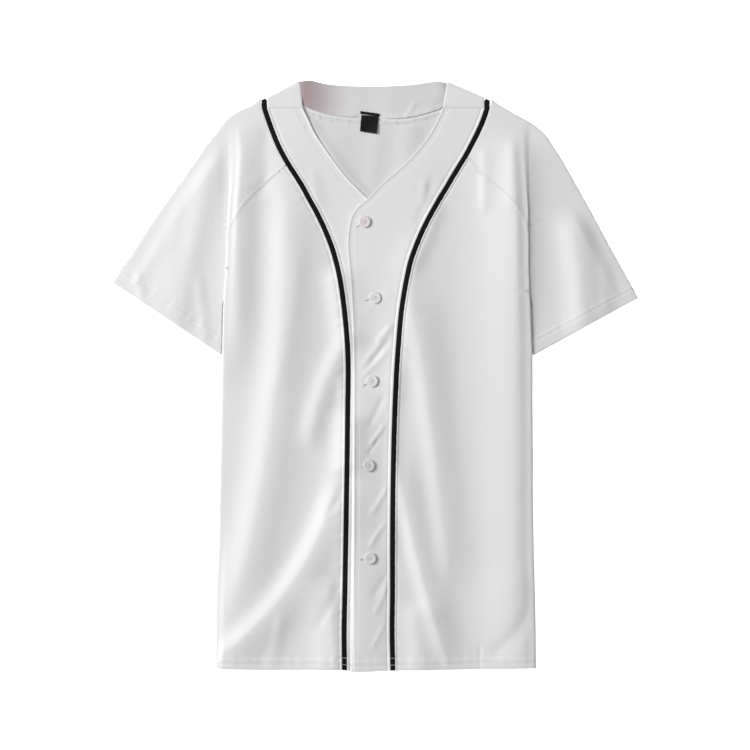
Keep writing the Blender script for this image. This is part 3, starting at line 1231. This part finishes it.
def flatLine(x, y, z, pitch, up, weave=0.0):
    length = np.concatenate([[0], np.cumsum(np.hypot(np.diff(x), np.diff(y)))])
    at = np.arange(pitch / 2, length[-1] - pitch / 2, pitch)
    px, py, pz = np.interp(at, length, x), np.interp(at, length, y), np.interp(at, length, z)
    runX = np.interp(at + 0.4, length, x) - np.interp(at - 0.4, length, x)
    runY = np.interp(at + 0.4, length, y) - np.interp(at - 0.4, length, y)
    found = []
    for i in range(len(at)):
        a = math.atan2(runY[i], runX[i]) + weave * (1 if i % 2 else -1)
        along = np.array([math.cos(a), math.sin(a), 0])
        n = np.array([0, 0, float(up)])
        p = np.array([px[i] + cut["shiftX"], py[i] + cut["shiftY"], pz[i]]) / 1000
        found.append((p, along, np.cross(n, along), n))
    return found


half = cut["wall"] / 2


def sewFront(side):
    out, tape, neck = outward[side], seams[side + "Tape"], seams[side + "Neck"]
    panel, band = panelRelief(side), bandRelief(side)
    pitch, rise = stitchSettings["pitch"], half + 0.05
    rows = []
    y = np.linspace(cut["bandTop"] - 2, -366, 900)
    offset = cut["tapeWide"] / 2 + cut["seamGap"] + sewn["tapeRow"]
    rows += stitchLine(side, tape(y) - out * offset * lean(tape, y), y, band, pitch, rise)
    neckRow = sewn["neckRow"] if side == "right" else sewn["placketRow"]
    y = np.linspace(cut["bandTop"] - 2, 196 if side == "right" else -366, 900)
    rows += stitchLine(side, neck(y) + out * neckRow * lean(neck, y), y, band, pitch, rise)
    for level in sewn["hemRows"]:
        inner = tape(level) + out * (cut["tapeWide"] / 2 + cut["seamGap"] + 0.8)
        x = np.linspace(inner, out * (bodyEdge(side, level) - 5), 400)
        rows += stitchLine(side, x, level + hemAt(x) - cut["hemLevel"], panel, pitch, rise)
        inner = tape(level) - out * (cut["tapeWide"] / 2 + cut["seamGap"] + 0.8)
        x = np.linspace(inner, neck(level) + out * 1.2, 200)
        rows += stitchLine(side, x, level + hemAt(x) - cut["hemLevel"], band, pitch, rise)
        x = np.linspace(tape(level) - 3, tape(level) + 3, 60)
        lift = lambda a, b: sideLift(side, a, b)
        rows += stitchLine(side, x, level + hemAt(x) - cut["hemLevel"], lift, 2.0, half + 0.55)
    return rows


def sewCuff(side):
    out = outward[side]
    inner = np.array([out * bodyEdge(side, cut["cuffInner"]), cut["cuffInner"]])
    outer = np.array([outlines[side]["x"][-1], outlines[side]["y"][-1]])
    run = (outer - inner) / np.linalg.norm(outer - inner)
    up = np.array([run[1], -run[0]]) if out < 0 else np.array([-run[1], run[0]])
    if up[1] < 0:
        up = -up
    rows = []
    for level in sewn["cuffRows"]:
        t = np.linspace(6, np.linalg.norm(outer - inner) - 4.5, 300)
        x, y = inner[0] + run[0] * t + up[0] * level, inner[1] + run[1] * t + up[1] * level
        rows += stitchLine(side, x, y, None, stitchSettings["pitch"], half + 0.05)
        rows += flatLine(x, y, np.full(len(x), 0.17), stitchSettings["pitch"], -1)
    return rows


def sewBack():
    rows = []
    x = np.linspace(-88, 78, 400)
    y = backNeckAt(x)
    level = lambda v: cut["backLevel"] + backRelief(x, v) + half + 0.03
    rows += flatLine(x, y - 1.4, level(y - 1.4), 2.6, 1)
    rows += flatLine(x, y - 5.2, level(y - 5.2), 1.35, 1, 0.62)
    rows += flatLine(x, y - 7.4, level(y - 7.4), 1.35, 1, -0.62)
    for row in sewn["hemRows"]:
        x = np.linspace(-192, 190, 400)
        rows += flatLine(x, row + hemAt(x) - cut["hemLevel"], np.full(len(x), 0.17), stitchSettings["pitch"], -1)
    return rows


def sewLabel():
    s = labelSettings
    x = np.linspace(s["topRight"][0] + 0.4, s["topLeft"][0] - 0.4, 60)
    y = np.linspace(s["topRight"][1], s["topLeft"][1], 60) + 0.55
    return flatLine(x, y, np.full(60, s["level"] + 0.45), 1.7, 1)


def sewButtons():
    rows = []
    for piece, (origin, along, across, up) in buttonPieces:
        for sign in (-1, 1):
            spot = origin + (across * sign * 1.24 + up * 1.72) / 1000
            rows.append((spot, along, across, up))
    return rows


# Worked edge of a buttonhole: close stitches square to the slit, round its two ends as well.
buttonholeSettings = {"long": 17.0, "fromButton": -3.6, "tilt": (0.62, 0.3, 0.5, 0.2, 0.15), "slit": 0.75, "edge": 0.95}


def sewButtonholes():
    s, rows, relief = buttonholeSettings, [], bandRelief("left")
    for (bx, by), tilt in zip(buttons, s["tilt"]):
        run, side = np.array([math.cos(tilt), math.sin(tilt)]), np.array([-math.sin(tilt), math.cos(tilt)])
        middle = np.array([bx, by]) + run * s["fromButton"]
        for sign in (-1, 1):
            for t in np.arange(-s["long"] / 2, s["long"] / 2, 0.42):
                spot = middle + run * t + side * sign * s["edge"]
                rows.append(frameOn("left", np.array(spot[0]), np.array(spot[1]), relief,
                                    np.array([side[0], side[1], 0]), half + 0.02))
        for end in (-1, 1):
            for a in np.linspace(-1.2, 1.2, 7):
                aim = run * end * math.cos(a) + side * math.sin(a)
                spot = middle + run * end * s["long"] / 2 + aim * s["edge"]
                rows.append(frameOn("left", np.array(spot[0]), np.array(spot[1]), relief,
                                    np.array([aim[0], aim[1], 0]), half + 0.02))
    return rows


# The slits themselves, cut through the over placket with long narrow cutters.
def cutButtonholes():
    s, relief, cutters = buttonholeSettings, bandRelief("left"), []
    for (bx, by), tilt in zip(buttons, s["tilt"]):
        mx, my = bx + math.cos(tilt) * s["fromButton"], by + math.sin(tilt) * s["fromButton"]
        level = layFront("left", np.array(mx), np.array(my), relief)[2]
        bpy.ops.mesh.primitive_cube_add(size=1, location=((mx + cut["shiftX"]) / 1000, (my + cut["shiftY"]) / 1000,
                                                          level / 1000), rotation=(0, 0, tilt),
                                        scale=(s["long"] / 1000, s["slit"] / 1000, 0.0030))
        bpy.ops.object.transform_apply(location=True, rotation=True, scale=True)
        cutters.append(bpy.context.object)
    cutter = joinCutters(cutters)
    band = bands["left"]
    bpy.context.view_layer.objects.active = band
    slits = band.modifiers.new("slits", "BOOLEAN")
    slits.object, slits.operation, slits.solver = cutter, "DIFFERENCE", "EXACT"
    bpy.ops.object.modifier_apply(modifier="slits")
    bpy.data.objects.remove(cutter)


cutButtonholes()
print("buttonholes cut")

frontSewing = {side: copiesOf("frontStitching." + side, stitch, sewFront(side), whiteThread) for side in outward}
cuffSewing = {side: copiesOf("cuffStitching." + side, stitch, sewCuff(side), whiteThread) for side in outward}
backSewing = copiesOf("backStitching", stitch, sewBack(), whiteThread)
holeSewing = copiesOf("buttonholeStitching", smallStitch, sewButtonholes(), whiteThread)
buttonSewing = copiesOf("buttonThread", threadBar, sewButtons(), whiteThread)
labelSewing = copiesOf("labelStitching", smallStitch, sewLabel(), whiteThread)
for piece in (stitch, smallStitch, threadBar):
    bpy.data.objects.remove(piece)
print("stitching sewn")


# What each piece was cut from

def halfSurface(piece):
    return sum(face.area for face in piece.data.polygons) / 2


def declare(piece, flat, area=None):
    print("  %-18s half surface %.4f m2, flat %.4f" % (piece.name, halfSurface(piece), area or flat[0] * flat[1]))


declare(backBody, (0.400, 0.710), area=0.262)
declare(panels["right"], (0.180, 0.635), area=0.094)
declare(panels["left"], (0.200, 0.640), area=0.104)
declare(bands["right"], (0.200, 0.735), area=0.045)
declare(bands["left"], (0.200, 0.735), area=0.045)
declare(sleeves["right"], (0.330, 0.330), area=0.075)
declare(sleeves["left"], (0.330, 0.330), area=0.073)
declare(neckBand, (0.340, 0.060), area=0.014)
declare(pipings["right"], (0.012, 0.790), area=0.0050)
declare(pipings["left"], (0.012, 0.790), area=0.0050)
declare(label, (0.022, 0.025))


# Floor, light and camera

room = {"floor": 7.0, "keyPlace": (-4.2, 1.3, 2.75), "keySize": 2.4, "keyPower": 325, "fillPower": 9, "sky": 0.24}


def makeFloor():
    bpy.ops.mesh.primitive_plane_add(size=room["floor"], location=(0, 0, -0.0003))
    floor = bpy.context.object
    floor.name = "floor"
    material, tree, shader = newMaterial("paleFloor", {"Roughness": 0.85, "Specular IOR Level": 0.2,
                                                       "Emission Strength": 0.8})
    spot = addNode(tree, "ShaderNodeTexCoord").outputs["Object"]
    worn = useGroup(tree, handledGroup, {"Place": spot, "Cloud": 1.3, "Wrinkle": 4.0, "Lint": 60.0})
    pale = blendColor(tree, ranged(tree, worn.outputs["Cloud"], 0, 0.3), (0.93, 0.93, 0.93, 1), (0.89, 0.89, 0.892, 1))
    tree.links.new(pale, shader.inputs["Base Color"])
    shader.inputs["Emission Color"].default_value = (1, 1, 1, 1)
    floor.data.materials.append(material)
    bpy.ops.object.select_all(action="DESELECT")


def aimAt(thing, place, target=(0, 0, 0)):
    thing.location = place
    thing.rotation_euler = (Vector(target) - Vector(place)).to_track_quat("-Z", "Y").to_euler()


def makeLight(name, place, size, power):
    bpy.ops.object.light_add(type="AREA", location=place)
    light = bpy.context.object
    light.name = name
    light.data.shape = "SQUARE"
    light.data.size = size
    light.data.energy = power
    aimAt(light, place)


makeFloor()
makeLight("keyLight", room["keyPlace"], room["keySize"], room["keyPower"])
makeLight("topFill", (0.6, 0.4, 3.4), 3.0, room["fillPower"])
world = bpy.data.worlds.new("softRoom")
bpy.context.scene.world = world
world.use_nodes = True
world.node_tree.nodes["Background"].inputs["Color"].default_value = (1, 1, 1, 1)
world.node_tree.nodes["Background"].inputs["Strength"].default_value = room["sky"]

bpy.ops.object.camera_add(location=(-0.0003, 0.0009, 2.2185), rotation=(0, 0, 0))
camera = bpy.context.object
camera.data.lens = 85
camera.data.sensor_width = 36
bpy.context.scene.camera = camera
view = bpy.context.scene.view_settings
view.view_transform = "Standard"
view.look = "None"
bpy.ops.object.select_all(action="DESELECT")
print("floor, light and camera set")

triangles = sum(len(face.vertices) - 2 for thing in bpy.data.objects if thing.type == "MESH" and not thing.hide_render
                for face in thing.data.polygons)
print("triangles shown", triangles)
